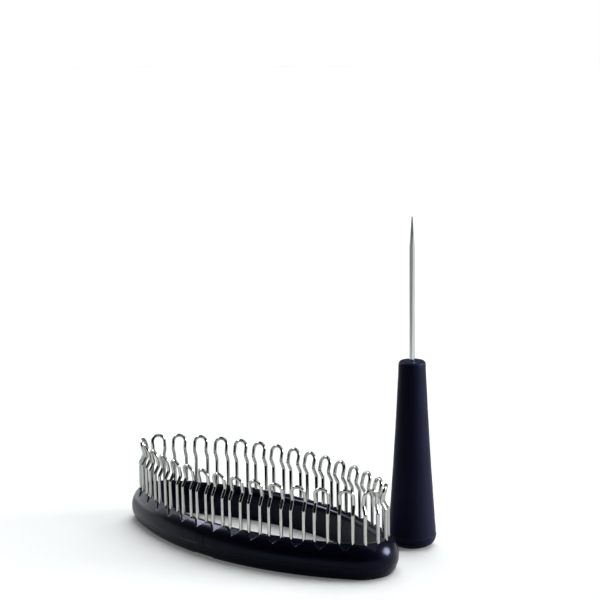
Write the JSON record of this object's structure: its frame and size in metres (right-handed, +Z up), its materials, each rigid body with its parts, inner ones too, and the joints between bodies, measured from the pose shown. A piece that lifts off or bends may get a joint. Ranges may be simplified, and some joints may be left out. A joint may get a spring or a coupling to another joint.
{
  "type": "oval knitting loom with pick",
  "caption": "Hand-held oval ring loom with upright bent-wire hooks round its rim for knitting socks and tubes, with its loose pointed pick standing beside it.",
  "frame": {"origin": "the middle of the oval, on the table that the loom lies on", "axes": "+X along the oval's long axis, towards the half that the pick stands behind; +Y across the oval, towards the pick; +Z up, the way the hooks point"},
  "size_m": [0.1178, 0.0651, 0.1162],
  "materials": {
    "rim_plastic": "moulded, semi-gloss, near-black navy",
    "hook_wire": "bright nickel-plated round wire",
    "handle_plastic": "moulded, satin, dark navy",
    "needle_steel": "polished steel"
  },
  "bodies": {
    "loom": {"rim_upper": "rim_plastic", "rim_lower": "rim_plastic", "hook_01": "hook_wire", "hook_02": "hook_wire", "hook_03": "hook_wire", "hook_04": "hook_wire", "hook_05": "hook_wire", "hook_06": "hook_wire", "hook_07": "hook_wire", "hook_08": "hook_wire", "hook_09": "hook_wire", "hook_10": "hook_wire", "hook_11": "hook_wire", "hook_12": "hook_wire", "hook_13": "hook_wire", "hook_14": "hook_wire", "hook_15": "hook_wire", "hook_16": "hook_wire", "hook_17": "hook_wire", "hook_18": "hook_wire", "hook_19": "hook_wire", "hook_20": "hook_wire", "hook_21": "hook_wire", "hook_22": "hook_wire", "hook_23": "hook_wire", "hook_24": "hook_wire", "hook_25": "hook_wire", "hook_26": "hook_wire", "hook_27": "hook_wire", "hook_28": "hook_wire", "hook_29": "hook_wire", "hook_30": "hook_wire"},
    "pick": {"pick_handle": "handle_plastic", "pick_base": "handle_plastic", "pick_needle": "needle_steel"}
  },
  "joints": [
    {"name": "pick_lift", "type": "slide", "parent": "loom", "child": "pick", "axis": [0, 0, 1], "range_m": [0, 0.06]}
  ]
}
